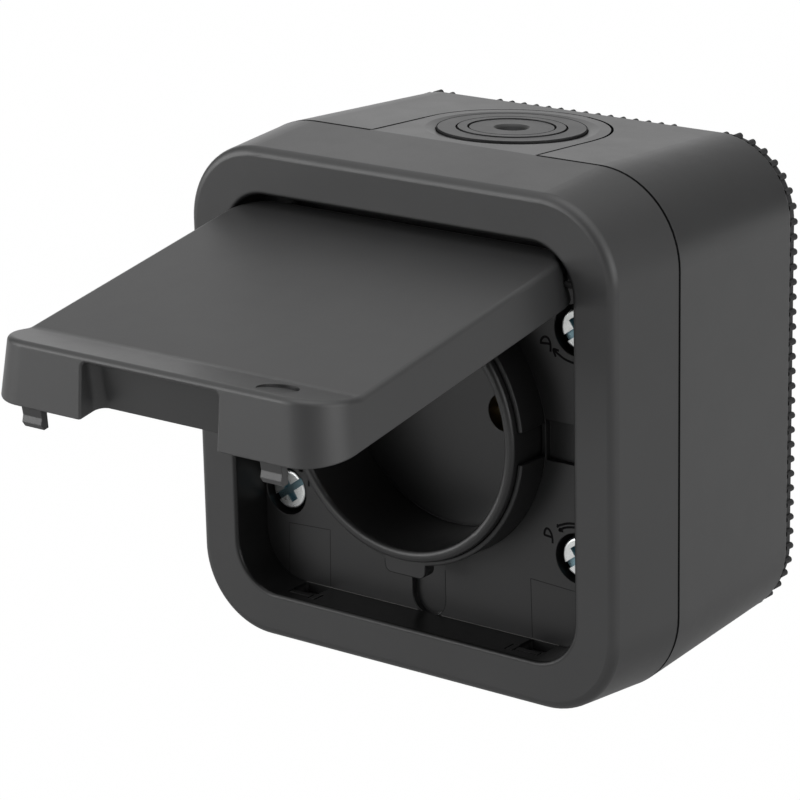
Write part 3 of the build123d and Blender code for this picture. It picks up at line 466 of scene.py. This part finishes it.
def moulded(
    name, look, colour, light_colour, roughness, grain_share=1.0, dark_inside=None, crevice_share=1.0,
):
    """Moulded satin plastic: cloudy tone, fine leathery grain, rubbed spots, softened edges and painted
    shade beside close walls.

    With dark_inside, as painted shade, the tone turns to that colour, with some matt black, inside the
    frame's
    opening: where the distance from the opening's straight part is less than its corner radius, in x and
    z.
    """
    finish = Finish(bpy.data.materials.new(name))
    at = finish.place()
    cloud = finish.noise(at, CLOUD_SIZE, 3.0)
    rub = finish.noise(at, RUB_SIZE, 4.0, 0.6)
    grain = finish.noise(at, look.grain, 2.0, 0.55)
    fine = finish.noise(at, look.grain * FINE_SHARE, 1.0, 0.5)
    tone = (cloud.swing(1.3) + grain.swing(0.5) + 0.5).clamp()
    base = finish.blend(tone, colour, light_colour)
    painted_shade = 0.0
    # Painted shade: inside the frame's opening the tone turns darker and some matt black is mixed in.
    if dark_inside:
        x, y, z = finish.axes(at)
        straight = look.opening - look.opening_corner
        out = ((abs(x) - straight).most(0.0) ** 2 + (abs(z) - straight).most(0.0) ** 2).root()
        inside = ((look.opening_corner + INSIDE_FADE - out) / INSIDE_FADE).clamp()
        base = finish.blend(inside, base, dark_inside)
        painted_shade = inside * INSIDE_SHADE
    rough = (cloud.swing(0.06) + rub.swing(0.08) + grain.swing(0.06) + roughness).clamp()
    round_edge = finish.node("ShaderNodeBevel", {"samples": EDGE_SAMPLES}, {"Radius": look.edge})
    bump = finish.node(
        "ShaderNodeBump", {},
        {
            "Strength": GRAIN_STRENGTH * grain_share, "Distance": look.grain_depth,
            "Height": grain * 0.8 + fine * 0.2, "Normal": round_edge,
        },
    )
    shader = finish.node(
        "ShaderNodeBsdfPrincipled", {},
        {"Base Color": base, "Roughness": rough, "Normal": bump, "IOR": PLASTIC_IOR},
    )
    # Matt black mixed in beside close walls and inside the opening is painted shade.
    return finish.surface(finish.crevices(shader, look.crevice * crevice_share, painted_shade))


def rubbery(name, colour, roughness, specular=0.5, crevice=0.0, pit=0.0):
    """Matt rubber: dusty tone, fine pores and a slightly uneven sheen.

    With crevice, matt black painted shade gathers beside walls nearer than that, and in a dimple of
    radius pit round the cable entry's middle.
    """
    finish = Finish(bpy.data.materials.new(name))
    at = finish.place()
    dust = finish.noise(at, DUST_SIZE, 4.0, 0.6)
    pores = finish.noise(at, PORE_SIZE, 2.0)
    pale = tuple(min(1.0, part * DUST_GAIN + DUST_LIFT) for part in colour[:3]) + (1,)
    base = finish.blend(((dust - 0.35) * 1.6).clamp(), colour, pale)
    rough = (dust.swing(0.14) + pores.swing(0.08) + roughness).clamp()
    bump = finish.node(
        "ShaderNodeBump", {}, {"Strength": PORE_STRENGTH, "Distance": PORE_DEPTH, "Height": pores},
    )
    shader = finish.node(
        "ShaderNodeBsdfPrincipled", {},
        {"Base Color": base, "Roughness": rough, "Normal": bump, "Specular IOR Level": specular},
    )
    if not crevice:
        return finish.surface(shader)
    x, y, z = finish.axes(at)
    off = (x**2 + (y - float(ENTRY[1])) ** 2).root()
    # Painted shade in the dimple round the cable entry's middle.
    painted_shade = ((pit - off) * DIMPLE_EDGE).clamp() * DIMPLE_SHADE
    return finish.surface(finish.crevices(shader, crevice, painted_shade))


def plated(name, colour, roughness, centre=None, deep_colour=None):
    """Bright metal: turning marks round its centre, cloudy plating and small scuffs.

    With deep_colour, the plating turns to that colour in the slots below the screw heads' faces.
    """
    finish = Finish(bpy.data.materials.new(name))
    at = finish.place()
    cloud = finish.noise(at, PLATING_SIZE, 3.0, 0.6)
    scuff = finish.noise(at, SCUFF_SIZE, 3.0, 0.7)
    if centre:
        x, y, z = finish.axes(at)
        radius = ((abs(x) - centre[0]) ** 2 + (abs(z) - centre[1]) ** 2).root()
        marks = finish.node(
            "ShaderNodeTexNoise", {"noise_dimensions": "1D"},
            {"W": radius * TURNING_MARKS, "Scale": 1.0, "Detail": 2.0},
        )
    else:
        marks = finish.noise(at, SPOT_SIZE, 2.0)
    dull = tuple(part * DULL_SHARE for part in colour[:3]) + (1,)
    base = finish.blend(((cloud - 0.4) * 1.5).clamp(), colour, dull)
    if deep_colour:
        depth = finish.axes(at)[1] - HEAD_Y
        base = finish.blend((depth / SLOT_FADE).clamp(), base, deep_colour)
    rough = (cloud.swing(0.12) + scuff.swing(0.12) + marks.swing(0.1) + roughness).clamp()
    bump = finish.node(
        "ShaderNodeBump", {},
        {"Strength": MARK_STRENGTH, "Distance": MARK_DEPTH, "Height": marks * 0.7 + scuff * 0.3},
    )
    shader = finish.node(
        "ShaderNodeBsdfPrincipled", {},
        {"Base Color": base, "Metallic": 1.0, "Roughness": rough, "Normal": bump},
    )
    return finish.surface(shader)


def wear(material, *names):
    """Puts a material on CAD nodes, whose shape stays as it is."""
    for name in names:
        mesh = NODES[name].data
        mesh.materials.clear()
        mesh.materials.append(material)


def facing(y):
    """Origin and across, up and out directions of a plane that faces the front."""
    return np.array(((0, y, 0), (1, 0, 0), (0, 0, 1), (0, -1, 0)))


def over_top(rise):
    """The same for a plane this far above the box's sloping top, from the middle of the cable entry."""
    out = np.array((0, sin(TOP_SLOPE), cos(TOP_SLOPE)))
    return np.array((ENTRY + out * rise, (1, 0, 0), (0, cos(TOP_SLOPE), -sin(TOP_SLOPE)), out))


def handed(points, side):
    """A path on the plate in metres: side 1 keeps it on the right, side -1 mirrors it to the left."""
    return np.array(points)[::side] * (side * MM, MM)


def smooth_path(points, steps=10):
    """Points of a Catmull-Rom curve through the given points, as an n by 2 array."""
    p = np.asarray(points, float)
    if len(p) == 2:
        return p
    ends = np.vstack((2 * p[0] - p[1], p, 2 * p[-1] - p[-2]))
    a, b, c, d = ends[:-3, None], ends[1:-2, None], ends[2:-1, None], ends[3:, None]
    t = np.linspace(0, 1, steps, endpoint=False)[None, :, None]
    spans = 0.5 * (
        2 * b + (c - a) * t + (2 * a - 5 * b + 4 * c - d) * t**2 + (3 * b - a - 3 * c + d) * t**3
    )
    return np.vstack((spans.reshape(-1, 2), p[-1:]))


def tube_faces(rows, ring, closed=False):
    """Faces of a section of ring points carried along rows places: quads, then a cap at each end.

    A closed tube joins its last section to its first and has no caps.
    """
    row = np.arange(rows if closed else rows - 1)[:, None]
    after = (row + 1) % rows
    side = np.arange(ring)[None, :]
    beside = (side + 1) % ring
    corners = (row * ring + side, row * ring + beside, after * ring + beside, after * ring + side)
    quads = np.stack(np.broadcast_arrays(*corners), axis=-1).reshape(-1, 4).tolist()
    if closed:
        return quads
    last = (rows - 1) * ring
    return quads + [list(range(ring - 1, -1, -1)), list(range(last, last + ring))]


def stroke_mesh(points, width, height, place):
    """A low ridge along a path on a flat face.

    place holds the face's origin and its across, up and out directions. The section is a flat
    hexagon, width wide and height proud of the face, carried along the path: vertex = origin +
    (path point + sideways * section offset) in across and up + out * section height.
    A path that ends where it starts makes a closed ring. Returns vertices and faces.
    """
    path = smooth_path(points)
    closed = bool(np.allclose(path[0], path[-1]))
    if closed:
        path = path[:-1]
        along = np.roll(path, -1, axis=0) - np.roll(path, 1, axis=0)
    else:
        along = np.gradient(path, axis=0)
    along /= np.linalg.norm(along, axis=1)[:, None]
    sideways = np.column_stack((along[:, 1], -along[:, 0]))
    section = STROKE_SECTION * (width, height)
    flat = path[:, None, :] + sideways[:, None, :] * section[None, :, :1]
    rise = np.broadcast_to(section[None, :, 1], flat.shape[:2])
    origin, across, up, out = place
    vertices = origin + flat[..., :1] * across + flat[..., 1:] * up + rise[..., None] * out
    return vertices.reshape(-1, 3), tube_faces(len(path), len(section), closed)


def joint_mesh():
    """A flat strip round the frame's rear edge, open at the tongue.

    The path is the frame's outline, a rounded square in x and z, from one side of the tongue round to
    the other; the section steps along y and out of the square: vertex = path + outwards * offset, at
    the section's y. Returns vertices and faces.
    """
    bend = np.linspace(0, np.pi / 2, JOINT_STEPS)
    middles = (FRAME_HALF - FRAME_CORNER) * np.array(((1, 1), (1, -1), (-1, -1), (-1, 1)))
    angles = np.pi / 2 - (np.arange(4)[:, None] * np.pi / 2 + bend[None, :])
    outwards = np.stack((np.cos(angles), np.sin(angles)), axis=-1)
    path = (middles[:, None, :] + FRAME_CORNER * outwards).reshape(-1, 2)
    path = np.vstack(((JOINT_START, FRAME_HALF), path, (-JOINT_START, FRAME_HALF)))
    outwards = np.vstack(((0, 1), outwards.reshape(-1, 2), (0, 1)))
    section = JOINT_SECTION * MM
    flat = path[:, None, :] + outwards[:, None, :] * section[None, :, 1:]
    depth = np.broadcast_to(section[None, :, 0], flat.shape[:2])
    vertices = np.stack((flat[..., 0], depth, flat[..., 1]), axis=-1).reshape(-1, 3)
    return vertices, tube_faces(len(path), len(section))


def add_piece(name, vertices, faces, material):
    """A line piece in the shared frame, which rides the housing."""
    mesh = bpy.data.meshes.new(name)
    mesh.from_pydata(vertices.tolist(), [], faces)
    mesh.validate()
    mesh.materials.append(material)
    piece = bpy.data.objects.new(name, mesh)
    bpy.context.scene.collection.objects.link(piece)
    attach(piece, "housing")


def add_strokes(name, strokes, width, height, place, material):
    """One piece made of several strokes on the same face."""
    vertices, faces, first = [], [], 0
    for points in strokes:
        made, joined = stroke_mesh(points, width, height, place)
        vertices.append(made)
        faces += [[first + corner for corner in face] for face in joined]
        first += len(made)
    add_piece(name, np.vstack(vertices), faces, material)


class SOCKET_OT_dress_housing(Operator):
    """Gives the box, frame and inner plate their moulded anthracite finish"""

    bl_idname = "outdoor_socket.dress_housing"
    bl_label = "Dress housing"

    def execute(self, context):
        look = context.scene.socket_plastic
        colour, light = tuple(look.colour), tuple(look.light_colour)
        inner, shaded_inner_light = tuple(look.shaded_inner_colour), tuple(look.shaded_inner_light)
        box = moulded("box_plastic", look, colour, light, look.roughness)
        wear(box, "back_box")
        # The frame's opening walls turn to the darker copy, painted shade of the recess.
        front = moulded("frame_plastic", look, colour, light, look.roughness, dark_inside=inner)
        wear(front, "front_frame")
        # The plate wears the darker copy, painted shade of the recess.
        plate = moulded(
            "plate_plastic", look, inner, shaded_inner_light, look.roughness, INNER_GRAIN,
            crevice_share=PLATE_CREVICE,
        )
        wear(plate, "inner_plate")
        return {"FINISHED"}


class SOCKET_OT_dress_lid(Operator):
    """Gives the flap lid its moulded anthracite finish and its pins a black one"""

    bl_idname = "outdoor_socket.dress_lid"
    bl_label = "Dress lid"

    def execute(self, context):
        look = context.scene.socket_plastic
        colour, light = tuple(look.colour), tuple(look.light_colour)
        inner, shaded_inner_light = tuple(look.shaded_inner_colour), tuple(look.shaded_inner_light)
        wear(moulded("lid_plastic", look, colour, light, look.roughness), "lid")
        # The hinge pins wear the darker copy, painted shade.
        pins = moulded("pin_plastic", look, inner, shaded_inner_light, PIN_ROUGHNESS, INNER_GRAIN)
        wear(pins, "hinge_pin_left", "hinge_pin_right")
        return {"FINISHED"}


class SOCKET_OT_dress_well(Operator):
    """Gives the plug well its smoother anthracite finish"""

    bl_idname = "outdoor_socket.dress_well"
    bl_label = "Dress well"

    def execute(self, context):
        look = context.scene.socket_plastic
        # The well wears the darker copy of the anthracite, painted shade of the recess.
        colour, light = tuple(look.shaded_inner_colour), tuple(look.shaded_inner_light)
        wear(moulded("well_plastic", look, colour, light, look.roughness, INNER_GRAIN), "socket_well")
        return {"FINISHED"}


class SOCKET_OT_dress_rubber(Operator):
    """Gives the cable membrane and the seals their rubber finish"""

    bl_idname = "outdoor_socket.dress_rubber"
    bl_label = "Dress rubber"

    def execute(self, context):
        look = context.scene.socket_rubber
        membrane = rubbery(
            "membrane_rubber", tuple(look.membrane), look.roughness - MEMBRANE_POLISH,
            crevice=MEMBRANE_CREVICE, pit=DIMPLE_R,
        )
        wear(membrane, "cable_grommet")
        seal = rubbery("seal_rubber", tuple(look.seal), look.roughness)
        wear(seal, "wall_seal", "collar_gasket", "screw_seals", "lid_seal")
        wear(rubbery("joint_rubber", SHADE_AND_JOINT_BLACK, SHADE_AND_JOINT_ROUGHNESS, 0.0), "frame_gasket")
        return {"FINISHED"}


class SOCKET_OT_dress_metal(Operator):
    """Gives screws, contacts and the insulating body their finishes"""

    bl_idname = "outdoor_socket.dress_metal"
    bl_label = "Dress metal"

    def execute(self, context):
        look = context.scene.socket_metal
        zinc = plated(
            "zinc_plate", tuple(look.zinc), ZINC_ROUGHNESS, (LOCK_X, LOCK_Z), tuple(look.slot),
        )
        wear(zinc, "lock_screw_1", "lock_screw_2", "lock_screw_3", "lock_screw_4")
        steel = plated("plain_steel", tuple(look.steel), STEEL_ROUGHNESS)
        wear(steel, "insert_screws", "terminal_screws")
        brass = plated("contact_brass", tuple(look.brass), BRASS_ROUGHNESS)
        wear(brass, "live_contact", "neutral_contact", "earth_pin")
        insulator = rubbery("insulator", tuple(look.insulator), INSULATOR_ROUGHNESS)
        wear(insulator, "contact_base", "rear_cover")
        return {"FINISHED"}


class SOCKET_OT_add_lock_signs(Operator):
    """Adds the open lock mark and turn arrows beside each lock screw"""

    bl_idname = "outdoor_socket.add_lock_signs"
    bl_label = "Add lock signs"

    def execute(self, context):
        look = context.scene.socket_signs
        ink_and_shade = rubbery("sign_ink", tuple(look.ink_and_shade), INK_AND_SHADE_ROUGHNESS, SIGN_SHINE)
        for number, lock in enumerate(LOCKS, 1):
            sign = UPPER_SIGN if lock.z > 0 else LOWER_SIGN
            side = 1 if lock.x > 0 else -1
            strokes = [handed(points, side) for points in sign]
            name = f"lock_sign_{number}"
            add_strokes(name, strokes, look.stroke, look.height, facing(PLATE_Y), ink_and_shade)
        return {"FINISHED"}


class SOCKET_OT_add_panel_lines(Operator):
    """Adds dark lines of painted shade along the fine moulded lines of the two lower panels on the plate
    """

    bl_idname = "outdoor_socket.add_panel_lines"
    bl_label = "Add panel lines"

    def execute(self, context):
        look = context.scene.socket_signs
        # The panel lines are painted shade in the moulded grooves.
        ink_and_shade = rubbery("line_shade", tuple(look.ink_and_shade), INK_AND_SHADE_ROUGHNESS, LINE_SHINE)
        for hand, side in (("left", -1), ("right", 1)):
            strokes = [handed(points, side) for points in PANEL_LINES]
            name = f"panel_lines_{hand}"
            add_strokes(name, strokes, look.line, look.height, facing(PLATE_Y), ink_and_shade)
        return {"FINISHED"}


class SOCKET_OT_add_drain_lines(Operator):
    """Adds painted shade lines round the drain channel and the well's tab, and a painted highlight on
    the plate's foot
    """

    bl_idname = "outdoor_socket.add_drain_lines"
    bl_label = "Add drain lines"

    def execute(self, context):
        look = context.scene.socket_signs
        # The channel and tab lines are painted shade along their edges.
        ink_and_shade = rubbery("drain_shade", tuple(look.ink_and_shade), INK_AND_SHADE_ROUGHNESS, DRAIN_SHINE)
        # A pale stroke along the plate's lower edge: painted highlight.
        pale = rubbery("foot_painted_highlight", tuple(look.foot), FOOT_ROUGHNESS)
        channel = [handed(CHANNEL_SIDE, side) for side in (-1, 1)]
        foot = [handed(PLATE_FOOT, side) for side in (-1, 1)]
        tab = [handed(TAB_OUTLINE, 1)]
        for name, strokes, face_y, shade in (
            ("channel_lines", channel, PLATE_Y, ink_and_shade),
            ("tab_line", tab, COLLAR_Y, ink_and_shade),
            ("plate_foot_highlight", foot, PLATE_Y, pale),
        ):
            add_strokes(name, strokes, look.line, look.height, facing(face_y), shade)
        return {"FINISHED"}


class SOCKET_OT_add_seam_lines(Operator):
    """Adds painted shade in the seams beside the tongue and behind the frame, and in the membrane's
    rings
    """

    bl_idname = "outdoor_socket.add_seam_lines"
    bl_label = "Add seam lines"

    def execute(self, context):
        look = context.scene.socket_signs
        # Seams, rings and the joint line are painted shade in gaps and grooves.
        ink_and_shade = rubbery("seam_shade", tuple(look.ink_and_shade), SHADE_AND_JOINT_ROUGHNESS, 0.0)
        straight = np.column_stack((np.full(len(SEAM_RIGHT), SEAM_R), SEAM_RIGHT))
        bend = SEAM_R * np.column_stack((np.cos(SEAM_BEND), np.sin(SEAM_BEND)))
        left = np.column_stack((np.full(len(SEAM_LEFT), -SEAM_R), SEAM_LEFT))
        seams = [MM * np.vstack((straight, bend)), MM * left]
        add_strokes("tongue_seam", seams, look.seam, look.height, over_top(0.0), ink_and_shade)
        turn = np.linspace(0, 2 * np.pi, RING_POINTS)
        circle = np.column_stack((np.cos(turn), np.sin(turn)))
        for name, radii, rise in RINGS:
            rings = [radius * circle for radius in radii]
            add_strokes(name, rings, look.ring, look.height, over_top(rise), ink_and_shade)
        add_piece("joint_line", *joint_mesh(), ink_and_shade)
        return {"FINISHED"}


class SOCKET_OT_build_stage(Operator):
    """Builds the pale floor, the light of the soft panels and the camera"""

    bl_idname = "outdoor_socket.build_stage"
    bl_label = "Build stage"

    def execute(self, context):
        look = context.scene.socket_stage
        self.build_floor(look)
        self.build_tent(context.scene, look)
        self.build_camera(context.scene, look)
        context.scene.view_settings.view_transform = "Standard"
        return {"FINISHED"}

    def build_floor(self, look):
        """A round pale floor under the object: circles of points, (r cos t, r sin t), at one height.

        The camera, reflections and what lies behind glass see it white, less so below the object; the
        rest of the light meets a matt floor.
        """
        turn = np.linspace(0, 2 * np.pi, FLOOR_STEPS, endpoint=False)
        x, y = np.outer(FLOOR_RINGS, np.cos(turn)), np.outer(FLOOR_RINGS, np.sin(turn))
        vertices = np.stack((x, y, np.full_like(x, -look.floor_drop)), axis=-1).reshape(-1, 3)
        upwards = [face[::-1] for face in tube_faces(len(FLOOR_RINGS), FLOOR_STEPS)[:-1]]
        mesh = bpy.data.meshes.new("floor")
        mesh.from_pydata(vertices.tolist(), [], upwards)
        floor = bpy.data.objects.new("floor", mesh)
        bpy.context.scene.collection.objects.link(floor)
        finish = Finish(bpy.data.materials.new("pale_floor"))
        camera, glossy, through = (
            finish.node("ShaderNodeLightPath", out=name)
            for name in ("Is Camera Ray", "Is Glossy Ray", "Is Transmission Ray")
        )
        at = finish.place()
        x, y, z = finish.axes(at)
        away = ((x**2 + (y - NEAR_Y) ** 2).root() - NEAR_RADIUS) / FAR_FADE
        share = away.clamp() * (look.far_floor - look.near_floor) + look.near_floor
        fleck = finish.noise(at, FLECK_SIZE, 2.0)
        rough = (fleck.swing(0.1) + FLOOR_ROUGHNESS).clamp()
        matt = finish.node(
            "ShaderNodeBsdfPrincipled", {},
            {"Base Color": FLOOR_GREY, "Roughness": rough, "Specular IOR Level": 0.0},
        )
        black = finish.node("ShaderNodeEmission", {}, {"Color": BLACK, "Strength": 0.0})
        white = finish.node("ShaderNodeEmission", {}, {"Color": WHITE, "Strength": 1.0})
        glow = finish.mix((camera + share).clamp(), black, white)
        seen = (camera * WHITE_SHARE + glossy + through).clamp()
        mesh.materials.append(finish.surface(finish.mix(seen, matt, glow)))

    def build_tent(self, scene, look):
        """The world: a dark room with four soft bright panels, white to the camera.

        A panel adds brightness * exp(focus * (cosine - 1)), where the cosine is that of the angle
        between a direction and the panel's middle, given by its turn from the front and its rise.
        """
        world = bpy.data.worlds.new("tent")
        scene.world = world
        finish = Finish(world)
        towards = finish.node("ShaderNodeTexCoord", out="Generated")
        seen = finish.node("ShaderNodeLightPath", out="Is Camera Ray")
        light = 0.0
        for name, turn, rise, focus in PANELS:
            turn, rise = radians(turn), radians(rise)
            middle = (sin(turn) * cos(rise), -cos(turn) * cos(rise), sin(rise))
            cosine = finish.node(
                "ShaderNodeVectorMath", {"operation": "DOT_PRODUCT"}, {0: towards, 1: middle},
                out="Value",
            )
            light = ((cosine - 1) * focus).exponential() * getattr(look, name) + light
        lit = finish.node("ShaderNodeBackground", {}, {"Color": WHITE, "Strength": light})
        white = finish.node("ShaderNodeBackground", {}, {"Color": WHITE, "Strength": 1.0})
        finish.node("ShaderNodeOutputWorld", {}, {"Surface": finish.mix(seen, lit, white)})

    def build_camera(self, scene, look):
        """A long lens in front, to the right and above, turned down to the object."""
        yaw, pitch, roll = CAMERA_YAW, CAMERA_PITCH, CAMERA_ROLL
        ahead = Vector((-sin(yaw) * cos(pitch), cos(yaw) * cos(pitch), -sin(pitch)))
        right = Vector((cos(yaw), sin(yaw), 0))
        down = ahead.cross(right)
        level_right = cos(roll) * right - sin(roll) * down
        level_down = sin(roll) * right + cos(roll) * down
        lens = bpy.data.cameras.new("photo_camera")
        lens.sensor_width = SENSOR_WIDTH
        lens.lens = look.lens
        lens.clip_start, lens.clip_end = CLIP_START, CLIP_END
        camera = bpy.data.objects.new("photo_camera", lens)
        scene.collection.objects.link(camera)
        turn = Matrix((level_right, -level_down, -ahead)).transposed().to_4x4()
        camera.matrix_world = Matrix.Translation(CAMERA_AT) @ turn
        scene.camera = camera


class SOCKET_PT_looks(Panel):
    """Lists the sizes and colours, and the steps that use them"""

    bl_idname = "SOCKET_PT_looks"
    bl_label = "Outdoor socket"
    bl_space_type = "VIEW_3D"
    bl_region_type = "UI"
    bl_category = "Socket"

    def draw(self, context):
        for name, kind in GROUPS.items():
            column = self.layout.column(align=True)
            for value in kind.__annotations__:
                column.prop(getattr(context.scene, name), value)
        for kind in STEPS:
            self.layout.operator(kind.bl_idname)


GROUPS = {
    "socket_plastic": SocketPlastic,
    "socket_rubber": SocketRubber,
    "socket_metal": SocketMetal,
    "socket_signs": SocketSigns,
    "socket_stage": SocketStage,
}
STEPS = (
    SOCKET_OT_build_stage,
    SOCKET_OT_dress_housing,
    SOCKET_OT_dress_lid,
    SOCKET_OT_dress_well,
    SOCKET_OT_dress_rubber,
    SOCKET_OT_dress_metal,
    SOCKET_OT_add_lock_signs,
    SOCKET_OT_add_panel_lines,
    SOCKET_OT_add_drain_lines,
    SOCKET_OT_add_seam_lines,
)


def register():
    for kind in (*GROUPS.values(), *STEPS, SOCKET_PT_looks):
        bpy.utils.register_class(kind)
    for name, kind in GROUPS.items():
        setattr(bpy.types.Scene, name, PointerProperty(type=kind))


def unregister():
    for name in GROUPS:
        delattr(bpy.types.Scene, name)
    for kind in (SOCKET_PT_looks, *reversed(STEPS), *GROUPS.values()):
        bpy.utils.unregister_class(kind)


def main():
    register()
    bpy.ops.outdoor_socket.build_stage()
    bpy.ops.outdoor_socket.dress_housing()
    bpy.ops.outdoor_socket.dress_lid()
    bpy.ops.outdoor_socket.dress_well()
    bpy.ops.outdoor_socket.dress_rubber()
    bpy.ops.outdoor_socket.dress_metal()
    bpy.ops.outdoor_socket.add_lock_signs()
    bpy.ops.outdoor_socket.add_panel_lines()
    bpy.ops.outdoor_socket.add_drain_lines()
    bpy.ops.outdoor_socket.add_seam_lines()


if __name__ == "__main__":
    main()
